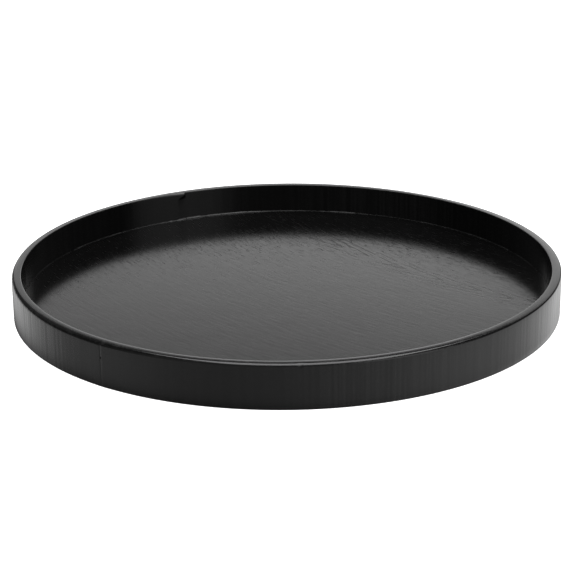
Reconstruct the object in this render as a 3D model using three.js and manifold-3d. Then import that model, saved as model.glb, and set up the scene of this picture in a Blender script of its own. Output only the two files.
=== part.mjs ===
// Round serving tray in bent and glued plywood.
//
// A hoop of five plies, each bent to a ring, stands around a five-ply floor board. The four outer
// plies of the hoop close with a butt joint. The inner face ply is feathered at one end and lapped
// over by the other, which stands proud of the wall. Two glue fillets hold the board in the hoop.
//
// Millimetres, +Z up. The origin is the centre of the foot ring, on the surface the tray stands on.
// Angles are degrees anticlockwise from +X, seen from above.

import * as THREE from 'three';
import { mergeVertices } from 'three/addons/utils/BufferGeometryUtils.js';
import Module from 'manifold-3d';

// Hoop
const OUTER_RADIUS = 165;
const HEIGHT = 26;
const PLY = 1.1;
const GLUE_LINE = 0.05;
const PLY_PITCH = PLY + GLUE_LINE;
const RIM_PLIES = 5;
const WALL_RADIUS = OUTER_RADIUS - RIM_PLIES * PLY_PITCH + GLUE_LINE;
const TOP_ROUNDING = 1.2;
const FOOT_CHAMFER = 0.5;
const BUTT_GAP = 0.2;

// Lapped joint of the inner face ply. LAP_FACETS and LAP_BEVEL are counted in facets.
const LAP_ANGLE = 115.5;
const LAP_FACETS = 4;
const LAP_GLUE = 0.2;
const LAP_STEP = PLY + LAP_GLUE;
const LAP_BEVEL = 0.4;
const SANDED_INSET = 0.6;
const SANDED_REACH = 3;
const SANDED_SLOPE = 30;

// Floor board, plies listed from the top
const FLOOR_HEIGHT = 7.5;
const EDGE_GAP = 0.1;
const BOARD_PLIES = [
  { name: 'base_floor_veneer', thickness: 0.6, paint: lacquer },
  { name: 'base_upper_crossband', thickness: 1.2, paint: bareWood },
  { name: 'base_core_ply', thickness: 1.2, paint: bareWood },
  { name: 'base_lower_crossband', thickness: 1.2, paint: bareWood },
  { name: 'base_back_veneer', thickness: 0.6, paint: lacquer },
];

// Glue fillets
const FILLET_LEG = 0.9;

// Every round piece shares one ring of facets, so that neighbours stay parallel.
const FACETS = 96;
const FACET_ANGLE = 360 / FACETS;
const CUTTER_MARGIN = 1;

const wasm = await Module();
wasm.setup();

function radians(degrees) {
  return THREE.MathUtils.degToRad(degrees);
}

function lacquer() {
  return new THREE.MeshStandardMaterial({ color: 0x252525, roughness: 0.35, metalness: 0 });
}

function bareWood() {
  return new THREE.MeshStandardMaterial({ color: 0xb58d5e, roughness: 0.8, metalness: 0 });
}

function driedGlue() {
  return new THREE.MeshStandardMaterial({ color: 0x3a3a3a, roughness: 0.3, metalness: 0 });
}

function piece(name, geometry, material) {
  const mesh = new THREE.Mesh(geometry, material);
  mesh.name = name;
  return mesh;
}

// Closed solid of one geometry, ready to be cut.
function solidOf(geometry) {
  const bare = geometry.clone();
  bare.deleteAttribute('normal');
  bare.deleteAttribute('uv');
  const merged = mergeVertices(bare);
  return new wasm.Manifold(new wasm.Mesh({
    numProp: 3,
    vertProperties: new Float32Array(merged.attributes.position.array),
    triVerts: new Uint32Array(merged.index.array),
  }));
}

function cut(geometry, tool) {
  const mesh = solidOf(geometry).subtract(solidOf(tool)).getMesh();
  const result = new THREE.BufferGeometry();
  result.setAttribute('position', new THREE.BufferAttribute(mesh.vertProperties, 3));
  result.setIndex(new THREE.BufferAttribute(mesh.triVerts, 1));
  return result;
}

// Ring turned about +Z from a closed outline of [radius, height] corners, listed anticlockwise.
// Its first facet starts at LAP_ANGLE, as all the round pieces do.
function turnedRing(corners) {
  const outline = [...corners, corners[0]].map(([radius, height]) => new THREE.Vector2(radius, height));
  const ring = new THREE.LatheGeometry(outline, FACETS);
  ring.rotateX(Math.PI / 2);
  ring.rotateZ(radians(LAP_ANGLE + 90));
  return ring;
}

// Plan position at a radius, a number of facets on from the lap. Fractions of a facet are allowed.
function planPoint(radius, facet) {
  const angle = radians(LAP_ANGLE + facet * FACET_ANGLE);
  return new THREE.Vector2(radius * Math.cos(angle), radius * Math.sin(angle));
}

// How much of the lap is left at a facet: 1 at the proud end, 0 where the ply is back in line.
function lapLeft(facet) {
  return Math.max(0, 1 - facet / LAP_FACETS);
}

// Radius of the tray's inner wall at a facet, 0 being the proud end.
function wallRadius(facet) {
  return WALL_RADIUS - LAP_STEP * lapLeft(facet);
}

function extrudedUp(points, bottom, height) {
  const solid = new THREE.ExtrudeGeometry(new THREE.Shape(points), { depth: height, bevelEnabled: false });
  solid.translate(0, 0, bottom);
  return solid;
}

// Outline of a hoop ply between two radii: square at the foot, rounded over the hoop's outer top edge.
function hoopOutline(inner, outer) {
  const roundingStart = OUTER_RADIUS - TOP_ROUNDING;
  const topAt = (radius) => {
    const past = Math.max(0, radius - roundingStart);
    return HEIGHT - TOP_ROUNDING + Math.sqrt(TOP_ROUNDING ** 2 - past ** 2);
  };
  const foot = outer === OUTER_RADIUS
    ? [[outer - FOOT_CHAMFER, 0], [outer, FOOT_CHAMFER]]
    : [[outer, 0]];
  const roundedRadii = [75, 50, 30, 0]
    .map((tilt) => roundingStart + TOP_ROUNDING * Math.sin(radians(tilt)))
    .filter((radius) => radius > inner && radius < outer);
  const top = [outer, ...roundedRadii, inner].map((radius) => [radius, topAt(radius)]);
  return [[inner, 0], ...foot, ...top];
}

// One ply of the hoop, counted from the outside, with its butt joint some facets on from the lap.
function buttJointedPly(index, jointFacet) {
  const outer = OUTER_RADIUS - index * PLY_PITCH;
  const ring = turnedRing(hoopOutline(outer - PLY, outer));
  const saw = new THREE.BoxGeometry(4 * PLY, BUTT_GAP, HEIGHT + 2 * CUTTER_MARGIN);
  saw.translate(outer - PLY / 2, 0, HEIGHT / 2);
  saw.rotateZ(radians(LAP_ANGLE + jointFacet * FACET_ANGLE));
  return cut(ring, saw);
}

// The inner face ply: once round, its feathered end running on under its proud, bevelled end.
function lappedPly() {
  const outside = [planPoint(wallRadius(0) + PLY, 0)];
  const inside = [planPoint(wallRadius(LAP_BEVEL), LAP_BEVEL)];
  for (let facet = 1; facet < FACETS + LAP_FACETS; facet += 1) {
    const feathering = Math.max(0, facet - FACETS) / LAP_FACETS;
    outside.push(planPoint(wallRadius(facet) + PLY, facet));
    inside.push(planPoint(wallRadius(facet) + PLY * feathering, facet));
  }
  const strip = extrudedUp([...outside, ...inside.reverse()], 0, HEIGHT);
  const drop = (reach) => reach * Math.tan(radians(SANDED_SLOPE));
  const flatEdge = WALL_RADIUS + SANDED_INSET;
  const sandedEdge = WALL_RADIUS - SANDED_REACH;
  const sander = turnedRing([
    [sandedEdge, HEIGHT - drop(flatEdge - sandedEdge)],
    [flatEdge, HEIGHT],
    [flatEdge, HEIGHT + CUTTER_MARGIN],
    [sandedEdge, HEIGHT + CUTTER_MARGIN],
  ]);
  return cut(strip, sander);
}

// One ply of the floor board. Its edge follows the inner wall, with a notch for the proud end.
function boardPly(bottom, thickness) {
  const points = [planPoint(wallRadius(LAP_BEVEL) - EDGE_GAP, LAP_BEVEL)];
  for (let facet = 1; facet < FACETS; facet += 1) {
    points.push(planPoint(wallRadius(facet) - EDGE_GAP, facet));
  }
  const notchFacet = FACETS - EDGE_GAP / (WALL_RADIUS * radians(FACET_ANGLE));
  points.push(planPoint(WALL_RADIUS - EDGE_GAP, notchFacet));
  points.push(planPoint(WALL_RADIUS - LAP_GLUE - EDGE_GAP, notchFacet));
  return extrudedUp(points, bottom, thickness);
}

// Glue in the corner between the board and the wall, left out along the lap.
// direction is 1 for the corner above the board and -1 for the one below.
function glueFillet(cornerHeight, direction) {
  const corner = WALL_RADIUS - EDGE_GAP;
  const level = cornerHeight + direction * GLUE_LINE;
  const corners = [
    [corner, level],
    [corner, level + direction * FILLET_LEG],
    [corner - FILLET_LEG, level],
  ];
  const ring = turnedRing(direction > 0 ? corners : corners.reverse());
  const lapSector = extrudedUp(
    [
      planPoint(WALL_RADIUS / 2, LAP_FACETS / 2),
      planPoint(OUTER_RADIUS, -0.5),
      planPoint(OUTER_RADIUS, LAP_FACETS),
    ],
    -CUTTER_MARGIN,
    HEIGHT + 2 * CUTTER_MARGIN,
  );
  return cut(ring, lapSector);
}

const tray = new THREE.Group();

const BUTT_JOINTED_PLIES = [
  { name: 'rim_outer_face_ply', jointFacet: 31.2 },
  { name: 'rim_outer_crossband', jointFacet: 72 },
  { name: 'rim_core_ply', jointFacet: 12 },
  { name: 'rim_inner_crossband', jointFacet: 53 },
];
BUTT_JOINTED_PLIES.forEach(({ name, jointFacet }, index) => {
  tray.add(piece(name, buttJointedPly(index, jointFacet), lacquer()));
});
tray.add(piece('rim_inner_face_ply', lappedPly(), lacquer()));

let plyTop = FLOOR_HEIGHT;
for (const { name, thickness, paint } of BOARD_PLIES) {
  tray.add(piece(name, boardPly(plyTop - thickness, thickness), paint()));
  plyTop -= thickness + GLUE_LINE;
}
const boardBottom = plyTop + GLUE_LINE;

tray.add(piece('floor_glue_fillet', glueFillet(FLOOR_HEIGHT, 1), driedGlue()));
tray.add(piece('underside_glue_fillet', glueFillet(boardBottom, -1), driedGlue()));

export default tray;
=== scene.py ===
"""Looks of the round bent-plywood serving tray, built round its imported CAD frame.

Metres, +Z up, origin at the centre of the foot ring. Angles are degrees anticlockwise from +X,
seen from above. The five rim plies, the two face veneers and the two glue fillets are replaced by
finer meshes. The three inner plies of the floor board keep their CAD shape and get a wood finish.
"""

import math

import bpy
from mathutils import Matrix, Vector, noise


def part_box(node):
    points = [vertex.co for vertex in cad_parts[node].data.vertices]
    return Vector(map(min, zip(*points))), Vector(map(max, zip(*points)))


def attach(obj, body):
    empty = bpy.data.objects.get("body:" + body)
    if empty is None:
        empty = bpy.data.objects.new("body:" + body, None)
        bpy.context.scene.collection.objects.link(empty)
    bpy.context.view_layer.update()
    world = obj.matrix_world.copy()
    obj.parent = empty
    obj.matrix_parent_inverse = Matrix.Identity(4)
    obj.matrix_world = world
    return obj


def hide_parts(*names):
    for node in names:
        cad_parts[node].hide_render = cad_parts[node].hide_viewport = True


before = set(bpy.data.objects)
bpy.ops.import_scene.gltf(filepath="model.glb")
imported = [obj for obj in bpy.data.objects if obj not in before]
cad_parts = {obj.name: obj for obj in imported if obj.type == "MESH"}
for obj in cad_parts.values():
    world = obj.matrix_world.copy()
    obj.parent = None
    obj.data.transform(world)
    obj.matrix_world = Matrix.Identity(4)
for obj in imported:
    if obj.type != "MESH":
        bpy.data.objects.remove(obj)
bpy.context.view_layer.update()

MM = 0.001

# Noise round the tray, as (radius, seed). A larger radius gives shorter waves.
TOP_NOISE = (1.3, 3.1)
WALL_NOISE = (2.0, 7.7)
BEAD_LEG_NOISE = (9.0, 5.5)
BEAD_CLIMB_NOISE = (6.0, 9.5)
BEAD_BREAK_NOISE = (14.0, 2.5)

# Rim, across its top. The crown starts to fall CROWN_TOP out from the inner wall.
CROWN_TOP = 2.0 * MM
CROWN_DROP = 0.42 * MM
CROWN_FLATTER_AT_HIGH_SIDE = 0.8
CROWN_FLATTER_AT_RIGHT = 0.6
INNER_ROUNDING = 0.45 * MM
LAP_SLOPE_START = 0.2 * MM
LAP_SLOPE = 40
OUTER_ROUNDING = 1.25 * MM
SOFTER_AT_LEFT = 0.9 * MM
SHARPER_AT_RIGHT = 0.45 * MM
SEAM_GROOVE = 0.015 * MM
SEAM_GROOVE_WIDTH = 0.15 * MM
TOP_WAVE = 0.05 * MM
HIGH_SIDE = 0.6 * MM
HIGH_SIDE_ANGLE = 145
HIGH_SIDE_SHARPNESS = 3

# Cosines of the angle from the tray's left or right, between which that side starts
LEFT_SIDE = (0.25, 0.75)
RIGHT_SIDE = (0.5, 0.9)

# Rim, down its outer wall
SANDED_TAPER = 0.22 * MM
SANDED_REACH = 4 * MM
FOOT_CHAMFER = 0.5 * MM
FOOT_CORNER_IN = 0.12 * MM
FOOT_CORNER_UP = 0.16 * MM
WALL_WAVE = 0.04 * MM

# Joints of the rim
LAP_ANGLE = 115.5
LAP_SPREAD = 15
LAP_BEVEL = 2.2
LAP_TIP_BEVEL = 0.45
LAP_TIP = 1.8 * MM
LAP_TIP_END = 5 * MM
LAP_GLUE = 0.2 * MM
LAP_RECESS = 0.15 * MM
LAP_RECESS_SPREAD = 8
LAP_EASE = 1.5
FEATHER_TIP = 0.03
BUTT_ANGLES = {
    "rim_outer_face_ply": 232.5,
    "rim_outer_crossband": 25.5,
    "rim_core_ply": 160.5,
    "rim_inner_crossband": 314.25,
}
BUTT_GAP = 0.06 * MM
SEAM_GAP = 0.01 * MM
LACQUER_RUN_IN = 0.5 * MM
JOINT_GROOVE = 0.22 * MM
JOINT_GROOVE_WIDTH = 0.5 * MM
JOINT_PIT_HEIGHT = 17 * MM
JOINT_PIT = 1.1 * MM
JOINT_PIT_CORE = 0.2 * MM
JOINT_LIFT = 0.2 * MM
JOINT_LIFT_SPREAD = 5

# Small dent in the rim's outer edge, fading inwards and downwards
NICK_ANGLE = 272.4
NICK_SPREAD = 0.4
NICK_DEPTH = 0.25 * MM
NICK_FADES_IN = (0.4 * MM, 1.8 * MM)
NICK_FADES_DOWN = (1 * MM, 3 * MM)

# Board and the glue beads in its corners
EDGE_GAP = 0.1 * MM
VENEER_WAVE = 0.012 * MM
VENEER_WAVES_PER_METRE = 55
VENEER_WAVE_SEED = 1.7
GLUE_SEAT = 0.05 * MM
BEAD_LEG = 0.7 * MM
BEAD_SPREAD = 0.35 * MM
BEAD_LEAST = 0.1 * MM
BEAD_END_GAP = 0.1
BEAD_CLIMB_SPREAD = 0.35
BEAD_HOLLOW = 0.3
BEAD_THICKENS = (92, 102)
BEAD_THINS = (117.2, 118.2)
BEAD_THIN = 0.3
BEAD_BREAK = 0.7
BEAD_BREAKS = (0.15, 0.5)

# Thicker stretches of the bead, as (angle, half their length in degrees, size)
BEAD_PATCHES = [
    (119.6, 0.6, 0.6),
    (122.0, 0.35, 0.5),
    (148, 4, 0.5),
    (164, 8, 0.45),
    (77, 9, 0.5),
    (50, 12, 0.4),
    (38, 7, 0.6),
    (20, 14, 0.4),
]

# Wood grain
GRAIN_ANGLE = -49.5
CROSS_GRAIN_ANGLE = GRAIN_ANGLE + 90
CATHEDRAL_OFFSET = 78.5 * MM
CATHEDRAL_BOW = 0.9
ARCH_ROUNDING = 2 * MM
CATHEDRAL_MIDDLE = (7 * MM, 16 * MM)
ARCHES_PER_METRE = 34.0
LINES_PER_METRE = 250.0

# Where the grain grows or fades, from front to back on the floor and from left to right on the wall
FLOOR_GRAIN_GROWS = (-100 * MM, 90 * MM)
WALL_GRAIN_GROWS = (-10 * MM, 30 * MM)
WALL_GRAIN_FADES_AT_LEFT = (-135 * MM, -100 * MM)
WALL_GRAIN_FADES_AT_RIGHT = (85 * MM, 130 * MM)

# Height of the bumps, and wear along the rim's top edge
WALL_GRAIN_BUMP = 0.012 * MM
FLOOR_GRAIN_BUMP = 0.021 * MM
BARE_GRAIN_BUMP = 0.05 * MM
GLUE_BUMP = 0.05 * MM
EDGE_WEAR_DEPTH = 0.6 * MM
EDGE_WEAR_FADES = (0.2 * MM, 1 * MM)

# Tones of the lacquer, of the painted shade in the floor's pores and of the glue, and colours of the bare
# wood, all in linear light
RIM_BLACK = 0.0004
RIM_STREAK = 0.0034
RIM_WORN = 0.004
FLOOR_BLACK = 0.0014
# Darker tone painted into the floor's pores: painted shade
FLOOR_PORE_SHADE = 0.0006
GLUE_TONES = (0.0015, 0.004)
WOOD_DARK = (0.40, 0.245, 0.115, 1)
WOOD_PALE = (0.53, 0.35, 0.18, 1)
WOOD_PORE = (0.22, 0.12, 0.05, 1)

# Roughness, from the smoothest to the roughest place, and what wear or a pore adds to it
RIM_ROUGHNESS = (0.13, 0.18)
WORN_ROUGHER = 0.08
FLOOR_ROUGHNESS = (0.145, 0.185)
PORE_ROUGHER = 0.14
GLUE_ROUGHNESS = (0.16, 0.26)
WOOD_ROUGHNESS = (0.62, 0.78)

# Studio. Reflections of the floor are the world's, dimmed near the tray.
FLOOR_HALF = 12.0
FLOOR_SINK = 0.02 * MM
FLOOR_GLOW = 0.7
CONTACT_SHADE = 0.5
CONTACT_SHADE_REACH = 8 * MM
SHADE_LESS_EASTWARD = 0.7

# Brightness of the world, by direction
LAMP_AZIMUTH = -40
GLOW_AZIMUTH = 138
TABLE_EAST_GAIN = 0.19
BACKDROP_MIDDLE = 0.342
BACKDROP_LEVEL = 0.68
BACKDROP_BRIGHTEST = 1.4
BACKDROP_FALL = 13.0
DIFFUSE_LEVEL = 0.9
SEEN_LEVEL = 1.2

# Softbox over the tray
SOFTBOX_SIZE = (1.0, 1.5)
SOFTBOX_PLACE = (0.12, 0.05, 1.0)
SOFTBOX_RADIANCE = 3.8

# Camera, its lens in millimetres
LENS = 109.92
SENSOR = 36
CAMERA_TARGET = Vector((0.00078, 0, 0.0082))
CAMERA_DISTANCE = 1.0712
CAMERA_ELEVATION = 19.948
CAMERA_ROLL = -0.63

# Material slots of a piece: what shows, and what is glued to its neighbour
FACE = 0
HIDDEN = 1

# Degrees between the sections of a piece where they stand close together, and how far the lap's
# tip reaches, where they stand closer still
FINE_STEP = 0.1
FINEST_TURN = 0.4


# ---------------------------------------------------------------- sizes from the frame


def corner_radii(name):
    """Smallest and largest distance of a node's corners from the Z axis."""
    distances = [math.hypot(v.co.x, v.co.y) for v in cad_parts[name].data.vertices]
    return min(distances), max(distances)


OUTER = corner_radii("rim_outer_face_ply")[1]
OUTSIDES = {name: corner_radii(name)[1] for name in BUTT_ANGLES}
CORE_INSIDE, CORE_OUTSIDE = corner_radii("rim_core_ply")
PLY = CORE_OUTSIDE - CORE_INSIDE
PLY_PITCH = OUTSIDES["rim_outer_crossband"] - CORE_OUTSIDE
WALL = corner_radii("rim_inner_face_ply")[1] - PLY
RIM_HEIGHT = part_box("rim_core_ply")[1].z
LAP_STEP = PLY + LAP_GLUE


# ---------------------------------------------------------------- shape of the rim


def smoothstep(low, high, value):
    t = min(1.0, max(0.0, (value - low) / (high - low)))
    return t * t * (3 - 2 * t)


def turn_noise(angle, radius, seed):
    """Seamless noise round the tray, about -1 to 1, read on a circle of some radius in the noise."""
    a = math.radians(angle)
    return noise.fractal(Vector((radius * math.cos(a), radius * math.sin(a), seed)), 1.0, 2.0, 3)


def since_lap(angle):
    """Degrees turned anticlockwise since the lap's proud end."""
    return (angle - LAP_ANGLE) % 360


def wall_radius(turned):
    """Radius of the inner wall, by the angle turned since the lap's proud end.

    The proud end eases back into line, and the wall is sanded away a little just before it.
    """
    proud = LAP_STEP * max(0.0, 1 - turned / LAP_SPREAD) ** LAP_EASE
    recess = LAP_RECESS * max(0.0, 1 - (360 - turned) / LAP_RECESS_SPREAD) ** 2
    return WALL - proud + recess


def high_side(angle):
    """How near an angle is to the rim's high side at the back left, 1 being there."""
    return (0.5 + 0.5 * math.cos(math.radians(angle - HIGH_SIDE_ANGLE))) ** HIGH_SIDE_SHARPNESS


def rim_height(angle):
    return RIM_HEIGHT + HIGH_SIDE * high_side(angle)


def right_side(angle):
    """How near an angle is to the tray's right, 1 being there. The rim is sanded less round there."""
    return smoothstep(*RIGHT_SIDE, math.cos(math.radians(angle)))


def outer_rounding(angle):
    """Radius of the rim's outer edge, which is softer at the tray's left and sharper at its right."""
    softer = SOFTER_AT_LEFT * smoothstep(*LEFT_SIDE, -math.cos(math.radians(angle)))
    return OUTER_ROUNDING + softer - SHARPER_AT_RIGHT * right_side(angle)


def round_drop(reach, radius):
    """Drop of a quarter round, by the reach into it."""
    reach = min(max(reach, 0.0), radius)
    return radius - math.sqrt(radius * radius - reach * reach)


def top_height(radius, angle, wall):
    """Height of the rim's sanded top. wall is the radius of its rounded inner edge."""
    crown = (radius - WALL - CROWN_TOP) / (OUTER - WALL - CROWN_TOP)
    flatter = CROWN_FLATTER_AT_HIGH_SIDE * high_side(angle) + CROWN_FLATTER_AT_RIGHT * right_side(angle)
    crown_drop = CROWN_DROP * (1 - flatter) * crown**2
    height = rim_height(angle) - TOP_WAVE * (1 - turn_noise(angle, *TOP_NOISE)) - crown_drop
    for outside in OUTSIDES.values():
        if outside < OUTER:
            off = (radius - outside) / SEAM_GROOVE_WIDTH
            height -= SEAM_GROOVE * math.exp(-off * off)
    rounding = outer_rounding(angle)
    height -= round_drop(radius - OUTER + rounding, rounding)
    over_lap = max(0.0, WALL - LAP_SLOPE_START - radius)
    height -= math.tan(math.radians(LAP_SLOPE)) * over_lap
    return height - round_drop(wall + INNER_ROUNDING - radius, INNER_ROUNDING)


def worn(radius, height, angle):
    """Where sanding, waviness, the lifted joint and the dent leave a point of the rim."""
    near_outside = smoothstep(OUTER - 2 * PLY, OUTER, radius)
    sanded = max(0.0, (height - rim_height(angle) + SANDED_REACH) / SANDED_REACH)
    inward = SANDED_TAPER * sanded**2 + WALL_WAVE * turn_noise(angle, *WALL_NOISE)
    from_joint = abs(angle % 360 - BUTT_ANGLES["rim_outer_face_ply"])
    inward -= JOINT_LIFT * max(0.0, 1 - from_joint / JOINT_LIFT_SPREAD) ** 2
    off_joint = math.radians(from_joint) * OUTER / JOINT_GROOVE_WIDTH
    inward += JOINT_GROOVE * math.exp(-off_joint * off_joint)
    off_nick = (angle % 360 - NICK_ANGLE) / NICK_SPREAD
    near_edge = 1 - smoothstep(*NICK_FADES_IN, OUTER - radius)
    near_edge *= 1 - smoothstep(*NICK_FADES_DOWN, RIM_HEIGHT - height)
    dent = NICK_DEPTH * near_edge * math.exp(-off_nick * off_nick)
    return radius - near_outside * inward - dent, height - dent


# ---------------------------------------------------------------- meshes


def polar(radius, angle, height):
    a = math.radians(angle)
    return (radius * math.cos(a), radius * math.sin(a), height)


def spread(start, end, count):
    """Evenly spread values, both ends included."""
    return [start + (end - start) * i / (count - 1) for i in range(count)]


def angles_between(start, end, step=0.5, fine_at=(), fine_reach=3.0):
    """Angles from start to end, closer together near some of them."""
    angles = [start]
    while angles[-1] < end - 1e-6:
        near = any(abs((angles[-1] - a + 180) % 360 - 180) < fine_reach for a in fine_at)
        angles.append(min(end, angles[-1] + (FINE_STEP if near else step)))
    return angles


def swept_mesh(name, sections, slots):
    """Closed mesh through sections, each of them a closed loop of as many points.

    slots holds the material slot of each side of the loop, then that of the two end caps.
    """
    count = len(sections[0])
    verts = [point for section in sections for point in section]
    faces = []
    indices = []
    for i in range(len(sections) - 1):
        for j in range(count):
            k = (j + 1) % count
            faces.append((i * count + j, (i + 1) * count + j, (i + 1) * count + k, i * count + k))
            indices.append(slots[j])
    last = (len(sections) - 1) * count
    faces.append(tuple(range(count)))
    faces.append(tuple(range(last + count - 1, last - 1, -1)))
    indices += [slots[count]] * 2
    mesh = bpy.data.meshes.new(name)
    mesh.from_pydata(verts, [], faces)
    mesh.polygons.foreach_set("material_index", indices)
    return mesh


def disc_mesh(name, edge_radii, bottom, top, relief):
    """Round board. edge_radii holds (angle, radius) round its edge, relief(x, y) is added to its top."""
    # Rings of the top, closer together at its middle and its edge
    fractions = [0.02, 0.06] + spread(0.12, 0.96, 22) + [0.985, 0.996, 1.0]
    verts = [(0, 0, top + relief(0, 0)), (0, 0, bottom)]
    faces = []
    indices = []
    rings = len(fractions)
    turns = len(edge_radii)
    for angle, radius in edge_radii:
        for fraction in fractions:
            x, y, _ = polar(radius * fraction, angle, 0)
            verts.append((x, y, top + relief(x, y)))
        verts.append(polar(radius, angle, bottom))
        verts.append(polar(radius * 0.5, angle, bottom))
    width = rings + 2
    for i in range(turns):
        here = 2 + i * width
        there = 2 + (i + 1) % turns * width
        faces.append((0, here, there))
        indices.append(FACE)
        for j in range(width - 1):
            faces.append((here + j, here + j + 1, there + j + 1, there + j))
            indices.append(FACE if j < rings - 1 else HIDDEN)
        faces.append((1, there + width - 1, here + width - 1))
        indices.append(HIDDEN)
    mesh = bpy.data.meshes.new(name)
    mesh.from_pydata(verts, [], faces)
    mesh.polygons.foreach_set("material_index", indices)
    return mesh


def add_piece(name, mesh, materials, node, sharp=35):
    """Makes the piece of a mesh, riding on the body and standing for its CAD node."""
    for material in materials:
        mesh.materials.append(material)
    mesh.shade_smooth()
    mesh.set_sharp_from_angle(angle=math.radians(sharp))
    mesh.validate()
    piece = bpy.data.objects.new(name, mesh)
    bpy.context.scene.collection.objects.link(piece)
    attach(piece, "root")
    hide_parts(node)


def rim_point(radius, height, angle):
    radius, height = worn(radius, height, angle)
    return polar(radius, angle, height)


def outer_face_loop(inside, angle, wall):
    """Section of the outer face ply: chamfered foot, wall, soft outer edge and top."""
    rounding = outer_rounding(angle)
    foot_corner = (OUTER - FOOT_CORNER_IN, FOOT_CORNER_UP)
    foot = [(inside, 0.0), (OUTER - FOOT_CHAMFER, 0.0), foot_corner, (OUTER, FOOT_CHAMFER)]
    wall_top = top_height(OUTER, angle, wall)
    sanded_from = RIM_HEIGHT - SANDED_REACH
    heights = spread(FOOT_CHAMFER, sanded_from, 7)[1:] + spread(sanded_from, wall_top, 7)[1:-1]
    lowest_tilt = math.degrees(math.asin(max(0.0, (inside - OUTER + rounding) / rounding)))
    tilts = spread(90, lowest_tilt, 12)
    radii = [OUTER - rounding + rounding * math.sin(math.radians(tilt)) for tilt in tilts]
    radii += spread(radii[-1], inside, 3)[1:]
    top = [(r, top_height(r, angle, wall)) for r in radii]
    return foot + [(OUTER, z) for z in heights] + top + [(inside, top[-1][1] - LACQUER_RUN_IN)]


def square_loop(inside, outside, angle, wall):
    """Section of a ply inside the rim: square foot, straight sides and the sanded top."""
    top = [(r, top_height(r, angle, wall)) for r in spread(outside, inside, 11)]
    lacquered_out = (outside, top[0][1] - LACQUER_RUN_IN)
    lacquered_in = (inside, top[-1][1] - LACQUER_RUN_IN)
    return [(inside, 0.0), (outside, 0.0), lacquered_out, *top, lacquered_in]


def butted_ply(name, lacquer, wood):
    """One of the four outer plies of the rim, its butt joint open by a hair."""
    outside = OUTSIDES[name]
    inside = outside - PLY_PITCH + SEAM_GAP
    outermost = name == "rim_outer_face_ply"
    half_gap = math.degrees(BUTT_GAP / 2 / outside)
    joint = BUTT_ANGLES[name]
    sections = []
    for angle in angles_between(joint + half_gap, joint + 360 - half_gap, fine_at=(joint, NICK_ANGLE)):
        wall = wall_radius(since_lap(angle))
        if outermost:
            loop = outer_face_loop(inside, angle, wall)
        else:
            loop = square_loop(inside, outside, angle, wall)
        sections.append([rim_point(r, z, angle) for r, z in loop])
    sides = len(sections[0])
    slots = [FACE] * (sides + 1)
    slots[sides - 1] = HIDDEN
    if not outermost:
        slots[1] = HIDDEN
    mesh = swept_mesh(name, sections, slots)
    add_piece(f"{name}_finished", mesh, [lacquer, wood], name)


def lap_bevel(height, angle):
    """Length of the bevel on the lap's proud end, in degrees. The end is blunt near the rim's top."""
    below = smoothstep(LAP_TIP, LAP_TIP_END, rim_height(angle) - height)
    return LAP_TIP_BEVEL + (LAP_BEVEL - LAP_TIP_BEVEL) * below


def bevelled_in(turned, bevel):
    """Radius of the inner wall, the bevel of the lap's proud end included."""
    return wall_radius(turned) + PLY * (1 - FEATHER_TIP) * max(0.0, 1 - turned / bevel)


def lapped_section(turned):
    """Section of the inner face ply, from its bevelled proud end at 0 to its feathered end."""
    angle = LAP_ANGLE + turned
    if turned > 360:
        proud = 1 - (turned - 360) / LAP_SPREAD
        outside = WALL + PLY
        inside = outside - max(FEATHER_TIP * PLY, (PLY - LAP_RECESS) * proud**LAP_EASE)
        rounded_off = WALL
    else:
        outside = min(WALL + PLY, wall_radius(turned) + PLY)
        inside = bevelled_in(turned, LAP_TIP_BEVEL)
        rounded_off = inside
    if outside - inside < PLY / 2:
        # Too thin for a rounded edge
        radii = spread(outside, inside, 17)
    else:
        tilts = spread(0, 90, 9)[1:]
        radii = spread(outside, inside + INNER_ROUNDING, 9)
        radii += [inside + INNER_ROUNDING * (1 - math.sin(math.radians(tilt))) for tilt in tilts]
    top = [(r, top_height(r, angle, rounded_off)) for r in radii]
    bevel_ends = rim_height(angle) - LAP_TIP_END
    heights = spread(top[-1][1], bevel_ends, 8)[1:] + spread(bevel_ends, 0.0, 5)[1:]
    if turned > 360:
        wall = [(inside, z) for z in heights]
    else:
        wall = [(bevelled_in(turned, lap_bevel(z, angle)), z) for z in heights]
    loop = [(outside, 0.0), (outside, top[0][1] - LACQUER_RUN_IN)] + top + wall
    return [polar(r, angle, z) for r, z in loop]


def lapped_ply(name, lacquer, wood):
    """The inner face ply. Its proud end is bevelled, and its feathered end runs on underneath."""
    turns = spread(0, FINEST_TURN, 11)[:-1]
    turns += angles_between(FINEST_TURN, 360 + LAP_SPREAD, fine_at=(0,), fine_reach=2 * LAP_BEVEL)
    sections = [lapped_section(turned) for turned in turns]
    slots = [HIDDEN] + [FACE] * len(sections[0])
    mesh = swept_mesh(name, sections, slots)
    add_piece(f"{name}_finished", mesh, [lacquer, wood], name)


def board_edge(turned):
    """Radius of the board's edge, which follows the wall and the bevelled end of the lap."""
    return min(WALL, bevelled_in(turned, LAP_BEVEL)) - EDGE_GAP


def board_veneer(node, materials, flip):
    """A face veneer of the board. flip is for the one whose good face looks down."""
    low, high = (corner.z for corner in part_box(node))
    edge = [(LAP_ANGLE + t, board_edge(t)) for t in angles_between(0, 360, fine_at=(0,))[:-1]]

    def relief(x, y):
        place_in_noise = (x * VENEER_WAVES_PER_METRE, y * VENEER_WAVES_PER_METRE, VENEER_WAVE_SEED)
        return VENEER_WAVE * (noise.noise(Vector(place_in_noise)) - 1)

    mesh = disc_mesh(node, edge, low, high, relief)
    if flip:
        mesh.transform(Matrix.Translation((0, 0, low + high)) @ Matrix.Scale(-1, 4, (0, 0, 1)))
        mesh.flip_normals()
    add_piece(f"{node}_finished", mesh, materials, node)


def bead_noise(angle, direction, radius, seed):
    """Noise along a glue bead. The bead above the board and the one below it differ."""
    return turn_noise(angle, radius, seed + direction)


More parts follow.
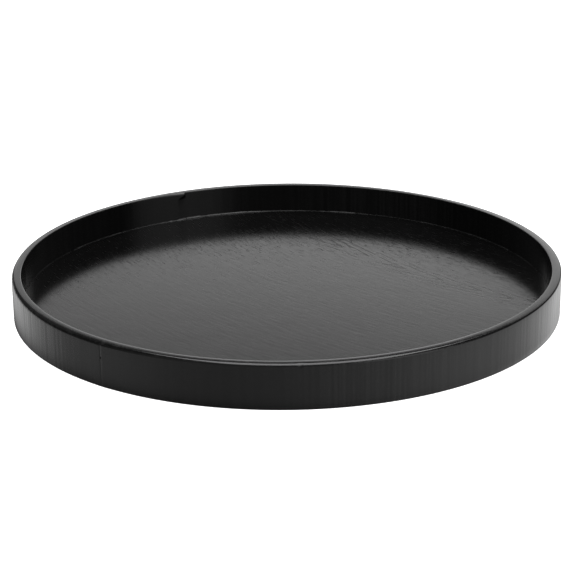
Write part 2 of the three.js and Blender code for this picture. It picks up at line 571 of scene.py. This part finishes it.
def bead_size(angle, direction):
    """Size of the bead round the corner, 1 being the full leg. It is thickest right of the lap."""
    thick = smoothstep(*BEAD_THICKENS, angle % 360)
    thick *= 1 - smoothstep(*BEAD_THINS, angle % 360)
    for patch, half, size in BEAD_PATCHES:
        thick = max(thick, size * (1 - smoothstep(0, half, abs(angle % 360 - patch))))
    broken = 1 - BEAD_BREAK * smoothstep(*BEAD_BREAKS, bead_noise(angle, direction, *BEAD_BREAK_NOISE))
    return (BEAD_THIN + (1 - BEAD_THIN) * thick) * broken


def bead_section(angle, level, direction):
    """Hollow-faced section of the glue bead at one place round the corner."""
    leg = BEAD_LEG + BEAD_SPREAD * bead_noise(angle, direction, *BEAD_LEG_NOISE)
    leg = max(BEAD_LEAST, leg * bead_size(angle, direction))
    climb = leg * (1 + BEAD_CLIMB_SPREAD * bead_noise(angle, direction, *BEAD_CLIMB_NOISE))
    climb = max(BEAD_LEAST, climb)
    corner = board_edge(since_lap(angle))
    loop = [(corner, level), (corner, level + direction * climb)]
    for t in spread(0, 1, 7)[1:-1]:
        hollow = BEAD_HOLLOW * math.sin(math.pi * t)
        across = leg * t * (1 - hollow)
        up = climb * (1 - t) * (1 - hollow)
        loop.append((corner - across, level + direction * up))
    loop.append((corner - leg, level))
    points = [polar(r, angle, z) for r, z in loop]
    return points if direction > 0 else list(reversed(points))


def glue_bead(node, level, direction, material):
    """The glue bead round one corner of the board, from one side of the lap's step to the other."""
    first = LAP_ANGLE + BEAD_END_GAP
    angles = angles_between(first, first + 360 - 2 * BEAD_END_GAP, step=0.3)
    sections = [bead_section(angle, level, direction) for angle in angles]
    mesh = swept_mesh(node, sections, [FACE] * (len(sections[0]) + 1))
    add_piece(f"{node}_bead", mesh, [material], node, sharp=50)


# ---------------------------------------------------------------- materials


def add_node(tree, kind, inputs=None, **settings):
    """Adds a shader node. inputs gives values or sockets by input name or number."""
    node = tree.nodes.new("ShaderNode" + kind)
    for key, value in settings.items():
        setattr(node, key, value)
    for key, value in (inputs or {}).items():
        if isinstance(value, bpy.types.NodeSocket):
            tree.links.new(value, node.inputs[key])
        else:
            node.inputs[key].default_value = value
    return node


def calc(tree, operation, *values):
    return add_node(tree, "Math", dict(enumerate(values)), operation=operation).outputs[0]


def plus(tree, first, second):
    return calc(tree, "ADD", first, second)


def minus(tree, first, second):
    return calc(tree, "SUBTRACT", first, second)


def times(tree, first, second):
    return calc(tree, "MULTIPLY", first, second)


def level_length(tree, x, y):
    """Length of a vector's level part."""
    return calc(tree, "SQRT", plus(tree, times(tree, x, x), times(tree, y, y)))


def ramp(tree, value, low, high, to_low=0.0, to_high=1.0):
    inputs = {"Value": value, "From Min": low, "From Max": high, "To Min": to_low, "To Max": to_high}
    return add_node(tree, "MapRange", inputs, interpolation_type="SMOOTHSTEP").outputs["Result"]


def place(tree):
    """The point on the piece, as a vector and as its three parts."""
    point = add_node(tree, "TexCoord").outputs["Object"]
    parts = add_node(tree, "SeparateXYZ", {0: point}).outputs
    return point, parts[0], parts[1], parts[2]


def scaled_noise(tree, parts, scales, detail=2.0):
    """Noise whose waves are 1/scale long along each part."""
    scaled = [times(tree, part, scale) for part, scale in zip(parts, scales)]
    vector = add_node(tree, "CombineXYZ", dict(enumerate(scaled))).outputs[0]
    inputs = {"Vector": vector, "Scale": 1.0, "Detail": detail, "Roughness": 0.5}
    return add_node(tree, "TexNoise", inputs).outputs[0]


def grain_parts(tree, point, grain_angle):
    """A point's parts along the grain, across it and up."""
    inputs = {"Vector": point, "Angle": math.radians(-grain_angle)}
    turned = add_node(tree, "VectorRotate", inputs, rotation_type="Z_AXIS").outputs[0]
    return add_node(tree, "SeparateXYZ", {0: turned}).outputs


def principled(name, ior=1.5):
    """A material with its tree and its shader."""
    material = bpy.data.materials.new(name)
    material.use_nodes = True
    tree = material.node_tree
    tree.nodes.clear()
    shader = add_node(tree, "BsdfPrincipled", {"IOR": ior})
    output = add_node(tree, "OutputMaterial")
    tree.links.new(shader.outputs[0], output.inputs["Surface"])
    return material, tree, shader


def grey(level):
    return (level, level, level, 1)


def mixed(tree, factor, low, high):
    """A colour between two, low at factor 0."""
    inputs = {"Factor": factor, 6: low, 7: high}
    return add_node(tree, "Mix", inputs, data_type="RGBA").outputs[2]


def blended(tree, factor, low, high):
    """A number between two, low at factor 0."""
    return add_node(tree, "Mix", {"Factor": factor, 2: low, 3: high}, data_type="FLOAT").outputs[0]


def bumped(tree, shader, height, distance):
    bump = add_node(tree, "Bump", {"Height": height, "Distance": distance, "Strength": 1.0})
    tree.links.new(bump.outputs[0], shader.inputs["Normal"])


def set_finish(tree, shader, tone, roughness):
    tree.links.new(tone, shader.inputs["Base Color"])
    tree.links.new(roughness, shader.inputs["Roughness"])


def rim_lacquer():
    """Black lacquer on bent plies: grain up the walls, ply edges round the top, worn edges."""
    material, tree, shader = principled("rim_lacquer")
    point, x, y, z = place(tree)
    radius = level_length(tree, x, y)
    normal = add_node(tree, "NewGeometry").outputs["Normal"]
    up = calc(tree, "ABSOLUTE", add_node(tree, "SeparateXYZ", {0: normal}).outputs[2])
    on_top = ramp(tree, up, 0.5, 0.9)

    # The grain shows more to the right of the middle and at the far left, less at the far right.
    open_grain = ramp(tree, x, *WALL_GRAIN_GROWS, 0.5, 1.6)
    open_grain = plus(tree, open_grain, ramp(tree, x, *WALL_GRAIN_FADES_AT_LEFT, 1.1, 0.0))
    open_grain = minus(tree, open_grain, ramp(tree, x, *WALL_GRAIN_FADES_AT_RIGHT, 0.0, 0.8))
    fine = scaled_noise(tree, (x, y, z), (480, 480, 14), detail=3.0)
    broad = scaled_noise(tree, (x, y, z), (120, 120, 8), detail=1.0)
    edge_grain = scaled_noise(tree, (radius, x, y), (1900, 28, 28))
    wall_height = plus(tree, fine, times(tree, broad, 2.0))
    wall_height = times(tree, times(tree, wall_height, 8.0), open_grain)
    height = blended(tree, on_top, wall_height, times(tree, edge_grain, 0.6))
    bumped(tree, shader, height, WALL_GRAIN_BUMP)

    # The pit in the outer joint is rough, and so is lacquer that is worn along the top edge.
    pit_place = polar(OUTER, BUTT_ANGLES["rim_outer_face_ply"], JOINT_PIT_HEIGHT)
    from_pit = add_node(tree, "VectorMath", {0: point, 1: pit_place}, operation="DISTANCE")
    pit = ramp(tree, from_pit.outputs["Value"], JOINT_PIT_CORE, JOINT_PIT, 1.0, 0.0)
    from_edge = calc(tree, "ABSOLUTE", minus(tree, z, RIM_HEIGHT - EDGE_WEAR_DEPTH))
    edge = minus(tree, 1.0, ramp(tree, from_edge, *EDGE_WEAR_FADES))
    scuffs = ramp(tree, scaled_noise(tree, (x, y, z), (240, 240, 240), detail=3.0), 0.52, 0.7)
    wear = times(tree, edge, scuffs)
    grime = scaled_noise(tree, (x, y, z), (60, 60, 60), detail=4.0)
    roughness = ramp(tree, grime, 0.3, 0.7, *RIM_ROUGHNESS)
    roughness = plus(tree, roughness, times(tree, wear, WORN_ROUGHER))
    roughness = blended(tree, pit, roughness, 1.0)

    streaks = ramp(tree, scaled_noise(tree, (x, y, z), (800, 800, 8)), 0.35, 0.65)
    streaks = times(tree, streaks, minus(tree, 1.0, on_top))
    streaks = times(tree, streaks, times(tree, open_grain, 0.6))
    tone = mixed(tree, streaks, grey(RIM_BLACK), grey(RIM_STREAK))
    tone = mixed(tree, wear, tone, grey(RIM_WORN))
    set_finish(tree, shader, tone, roughness)
    return material


def veneer_lacquer(name, grain_angle, cathedral_offset):
    """Black lacquer on an open-pored veneer, with a cathedral figure along the grain."""
    material, tree, shader = principled(name)
    point, _, north, _ = place(tree)
    along, across, up = grain_parts(tree, point, grain_angle)

    # Growth rings, which the floor cuts as arches along the middle of the figure
    wander = scaled_noise(tree, (along, across, up), (10, 30, 1))
    bow = times(tree, CATHEDRAL_BOW, times(tree, along, along))
    across = minus(tree, across, plus(tree, bow, cathedral_offset))
    arch = calc(tree, "SQRT", plus(tree, times(tree, across, across), ARCH_ROUNDING**2))
    rings = plus(tree, times(tree, along, ARCHES_PER_METRE), times(tree, arch, LINES_PER_METRE))
    rings = plus(tree, rings, times(tree, wander, 2.4))
    wave = calc(tree, "SINE", times(tree, rings, 2 * math.pi))
    early_wood = ramp(tree, wave, 0.55, 0.95)
    middle = minus(tree, 1.0, ramp(tree, arch, *CATHEDRAL_MIDDLE))

    # Loose pores, dashed lines of them along the growth rings, and a soft relief in between. The pores
    # are dips, rougher, and carry painted shade. The loose pores and the relief are weaker towards the
    # front.
    pores = ramp(tree, scaled_noise(tree, (along, across, up), (130, 1000, 1)), 0.52, 0.72)
    dashes = ramp(tree, scaled_noise(tree, (along, across, up), (70, 420, 1)), 0.4, 0.52)
    line = times(tree, times(tree, early_wood, middle), times(tree, dashes, 0.9))
    openness = ramp(tree, north, *FLOOR_GRAIN_GROWS, 0.3, 1.05)
    shaded_pore = calc(tree, "MAXIMUM", times(tree, pores, openness), line)
    soft = scaled_noise(tree, (along, across, up), (55, 380, 1))
    height = times(tree, soft, ramp(tree, north, *FLOOR_GRAIN_GROWS, 1.4, 1.7))
    bumped(tree, shader, minus(tree, height, shaded_pore), FLOOR_GRAIN_BUMP)

    # Painted shade: the pores and their dashed lines are painted darker than the lacquer round them
    tone = mixed(tree, shaded_pore, grey(FLOOR_BLACK), grey(FLOOR_PORE_SHADE))
    roughness = ramp(tree, soft, 0.3, 0.7, *FLOOR_ROUGHNESS)
    roughness = plus(tree, roughness, times(tree, shaded_pore, PORE_ROUGHER))
    set_finish(tree, shader, tone, roughness)
    return material


def bare_wood(name, grain_angle):
    """Unfinished crossband: pale growth lines and short dark pores along the grain."""
    material, tree, shader = principled(name, ior=1.45)
    along, across, up = grain_parts(tree, place(tree)[0], grain_angle)
    bands = scaled_noise(tree, (along, across, up), (6, 160, 160), detail=3.0)
    pores = ramp(tree, scaled_noise(tree, (along, across, up), (180, 1700, 900), detail=1.0), 0.58, 0.7)
    tone = mixed(tree, bands, WOOD_DARK, WOOD_PALE)
    tone = mixed(tree, times(tree, pores, 0.6), tone, WOOD_PORE)
    set_finish(tree, shader, tone, ramp(tree, bands, 0.2, 0.8, *WOOD_ROUGHNESS))
    bumped(tree, shader, minus(tree, bands, pores), BARE_GRAIN_BUMP)
    return material


def glue_lacquer():
    """Lacquered glue: glossy, with a slightly lumpy skin."""
    material, tree, shader = principled("glue_lacquer")
    _, x, y, z = place(tree)
    lumps = scaled_noise(tree, (x, y, z), (500, 500, 500))
    tone = mixed(tree, lumps, *[grey(level) for level in GLUE_TONES])
    set_finish(tree, shader, tone, ramp(tree, lumps, 0.3, 0.7, *GLUE_ROUGHNESS))
    bumped(tree, shader, lumps, GLUE_BUMP)
    return material


# ---------------------------------------------------------------- studio


def studio_floor():
    """Plain pale floor that the tray stands on.

    Reflections pass through it to the world, but for a dark shade round the tray's foot.
    """
    mesh = bpy.data.meshes.new("studio_floor")
    half = FLOOR_HALF
    corners = [(-half, -half, 0), (half, -half, 0), (half, half, 0), (-half, half, 0)]
    mesh.from_pydata(corners, [], [(0, 1, 2, 3)])
    material, tree, shader = principled("studio_white")
    shader.inputs["Base Color"].default_value = grey(0.9)
    shader.inputs["Roughness"].default_value = 1.0
    shader.inputs["Emission Color"].default_value = grey(1.0)
    shader.inputs["Emission Strength"].default_value = FLOOR_GLOW
    _, x, y, _ = place(tree)
    radius = level_length(tree, x, y)
    away = calc(tree, "DIVIDE", minus(tree, radius, OUTER), CONTACT_SHADE_REACH)
    shade = times(tree, CONTACT_SHADE, calc(tree, "EXPONENT", times(tree, away, -1.0)))
    eastward = calc(tree, "DIVIDE", x, calc(tree, "MAXIMUM", radius, OUTER))
    shade = times(tree, shade, minus(tree, 1.0, times(tree, eastward, SHADE_LESS_EASTWARD)))
    dark = add_node(tree, "Emission", {"Strength": 0.0}).outputs[0]
    clear = add_node(tree, "BsdfTransparent").outputs[0]
    reflected = add_node(tree, "MixShader", {0: shade, 1: clear, 2: dark}).outputs[0]
    mirrored = add_node(tree, "LightPath").outputs["Is Glossy Ray"]
    seen = add_node(tree, "MixShader", {0: mirrored, 1: shader.outputs[0], 2: reflected}).outputs[0]
    tree.links.new(seen, tree.nodes["Material Output"].inputs["Surface"])
    mesh.materials.append(material)
    floor = bpy.data.objects.new("studio_floor", mesh)
    floor.location.z = -FLOOR_SINK
    bpy.context.scene.collection.objects.link(floor)


def facing(tree, east, north, azimuth):
    """How nearly a level direction points at an azimuth, 1 being straight at it."""
    a = math.radians(azimuth)
    return plus(tree, times(tree, east, math.cos(a)), times(tree, north, math.sin(a)))


def table_level(tree, east, north):
    """Brightness of the table, by direction from the tray."""
    level = plus(tree, ramp(tree, north, -1.1, -0.2, 0.4, 0.7), ramp(tree, north, 0.1, 0.8, 0.0, 0.44))
    level = minus(tree, level, ramp(tree, north, 0.8, 1.0, 0.0, 0.5))
    return plus(tree, level, times(tree, east, TABLE_EAST_GAIN))


def backdrop_level(tree, east, north, up):
    """Brightness of the backdrop behind the tray, which falls off upwards."""
    level = calc(tree, "EXPONENT", times(tree, minus(tree, up, BACKDROP_MIDDLE), -BACKDROP_FALL))
    level = calc(tree, "MINIMUM", BACKDROP_BRIGHTEST, times(tree, level, BACKDROP_LEVEL))
    level = times(tree, level, ramp(tree, up, 0.44, 0.56, 1.0, 0.0))
    level = times(tree, level, ramp(tree, east, -0.25, 0.25, 0.77, 1.07))
    return times(tree, level, ramp(tree, north, 0.905, 0.975))


def lamp_level(tree, east, north, up):
    """Brightness of the low lamp at the front right."""
    off_lamp = minus(tree, 1.0, facing(tree, east, north, LAMP_AZIMUTH))
    level = ramp(tree, off_lamp, 0.0, 0.14, 0.9, 0.0)
    return times(tree, level, ramp(tree, up, 0.45, 0.7, 1.0, 0.0))


def dim_level(tree, east, north, up):
    """Brightness of the rest of the room, with a faint glow high at the back left."""
    level = plus(tree, ramp(tree, east, -0.9, 0.9, 0.09, 0.12), ramp(tree, north, -0.7, 0.1, 0.16, 0.0))
    glow = ramp(tree, facing(tree, east, north, GLOW_AZIMUTH), 0.9, 0.98)
    return plus(tree, level, times(tree, glow, ramp(tree, up, 0.35, 0.43, 0.0, 0.09)))


def studio_world():
    """Soft studio round the tray, by direction: pale table, bright backdrop, dim room, one side light."""
    world = bpy.data.worlds.new("studio")
    world.use_nodes = True
    tree = world.node_tree
    tree.nodes.clear()
    direction = add_node(tree, "TexCoord").outputs["Generated"]
    x, y, up = add_node(tree, "SeparateXYZ", {0: direction}).outputs
    level_part = calc(tree, "MAXIMUM", level_length(tree, x, y), 0.001)
    east = calc(tree, "DIVIDE", x, level_part)
    north = calc(tree, "DIVIDE", y, level_part)
    bright = plus(tree, backdrop_level(tree, east, north, up), lamp_level(tree, east, north, up))
    room = plus(tree, dim_level(tree, east, north, up), bright)
    seen = blended(tree, ramp(tree, up, -0.08, 0.04), table_level(tree, east, north), room)
    path = add_node(tree, "LightPath").outputs
    seen = blended(tree, path["Is Diffuse Ray"], seen, DIFFUSE_LEVEL)
    seen = blended(tree, path["Is Camera Ray"], seen, SEEN_LEVEL)
    background = add_node(tree, "Background", {"Strength": seen, "Color": grey(1.0)})
    output = add_node(tree, "OutputWorld")
    tree.links.new(background.outputs[0], output.inputs[0])
    bpy.context.scene.world = world


def overhead_softbox():
    light = bpy.data.lights.new("overhead_softbox", "AREA")
    light.shape = "RECTANGLE"
    light.size, light.size_y = SOFTBOX_SIZE
    light.energy = SOFTBOX_RADIANCE * math.pi * light.size * light.size_y
    softbox = bpy.data.objects.new("overhead_softbox", light)
    softbox.location = SOFTBOX_PLACE
    bpy.context.scene.collection.objects.link(softbox)


def camera():
    lens = bpy.data.cameras.new("camera")
    lens.lens = LENS
    lens.sensor_width = SENSOR
    eye = bpy.data.objects.new("camera", lens)
    tilt = math.radians(CAMERA_ELEVATION)
    eye.location = CAMERA_TARGET + CAMERA_DISTANCE * Vector((0, -math.cos(tilt), math.sin(tilt)))
    looking = (CAMERA_TARGET - eye.location).normalized()
    level = looking.cross(Vector((0, 0, 1))).normalized()
    turned = Matrix.Rotation(math.radians(CAMERA_ROLL), 3, -looking)
    right = turned @ level
    up = right.cross(looking)
    eye.rotation_euler = Matrix((right, up, -looking)).transposed().to_euler()
    bpy.context.scene.collection.objects.link(eye)
    bpy.context.scene.camera = eye


# ---------------------------------------------------------------- the tray

rim_finish = rim_lacquer()
hoop_wood = bare_wood("hoop_wood", 0)
floor_finish = veneer_lacquer("floor_lacquer", GRAIN_ANGLE, CATHEDRAL_OFFSET)
back_finish = veneer_lacquer("back_lacquer", GRAIN_ANGLE, -CATHEDRAL_OFFSET)
crossband_wood = bare_wood("crossband_wood", CROSS_GRAIN_ANGLE)
core_wood = bare_wood("core_wood", GRAIN_ANGLE)
glue_finish = glue_lacquer()

for ply_name in BUTT_ANGLES:
    butted_ply(ply_name, rim_finish, hoop_wood)
lapped_ply("rim_inner_face_ply", rim_finish, hoop_wood)
board_veneer("base_floor_veneer", [floor_finish, core_wood], False)
board_veneer("base_back_veneer", [back_finish, core_wood], True)
glue_bead("floor_glue_fillet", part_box("base_floor_veneer")[1].z + GLUE_SEAT, 1, glue_finish)
glue_bead("underside_glue_fillet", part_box("base_back_veneer")[0].z - GLUE_SEAT, -1, glue_finish)
INNER_WOODS = {
    "base_upper_crossband": crossband_wood,
    "base_core_ply": core_wood,
    "base_lower_crossband": crossband_wood,
}
for node_name, wood in INNER_WOODS.items():
    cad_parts[node_name].data.materials.clear()
    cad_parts[node_name].data.materials.append(wood)

studio_floor()
studio_world()
overhead_softbox()
camera()
bpy.context.scene.view_settings.view_transform = "Standard"
